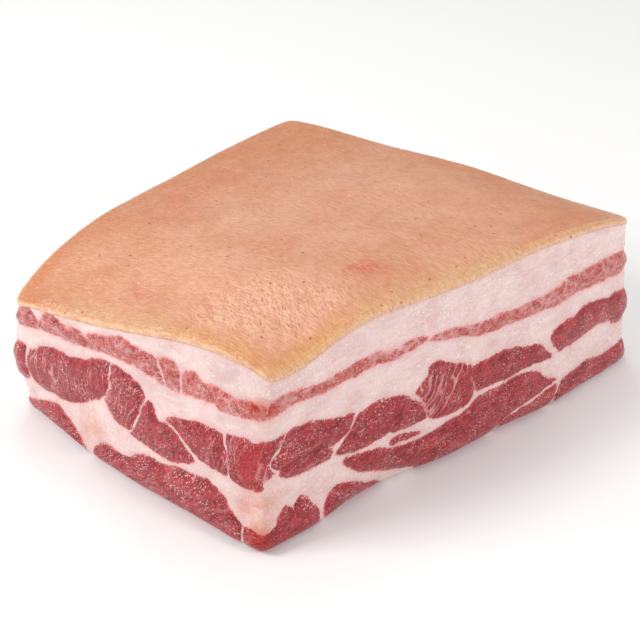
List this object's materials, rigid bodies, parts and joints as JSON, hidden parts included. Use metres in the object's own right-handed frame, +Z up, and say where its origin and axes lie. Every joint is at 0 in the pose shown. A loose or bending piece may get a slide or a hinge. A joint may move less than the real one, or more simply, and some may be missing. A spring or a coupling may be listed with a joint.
{
  "type": "pork belly slab",
  "caption": "Raw skin-on pork belly slab, lying flat with its skin up. Layers of fat and lean meat run through it and show on the cut sides.",
  "frame": {"origin": "centre of the bounding box, at the level of the flat base that the slab rests on", "axes": "+Z up through the skin, +X along the longest extent, +Y from the front cut side towards the back"},
  "size_m": [0.1834, 0.1516, 0.0663],
  "materials": {
    "skin": "satin, moist",
    "fat": "satin, moist",
    "lean": "wet"
  },
  "bodies": {
    "root": {"fat_cap": "skin", "upper_lean": "lean", "middle_fat": "fat", "main_lean": "lean", "lower_fat": "fat", "bottom_lean": "lean"}
  },
  "joints": []
}
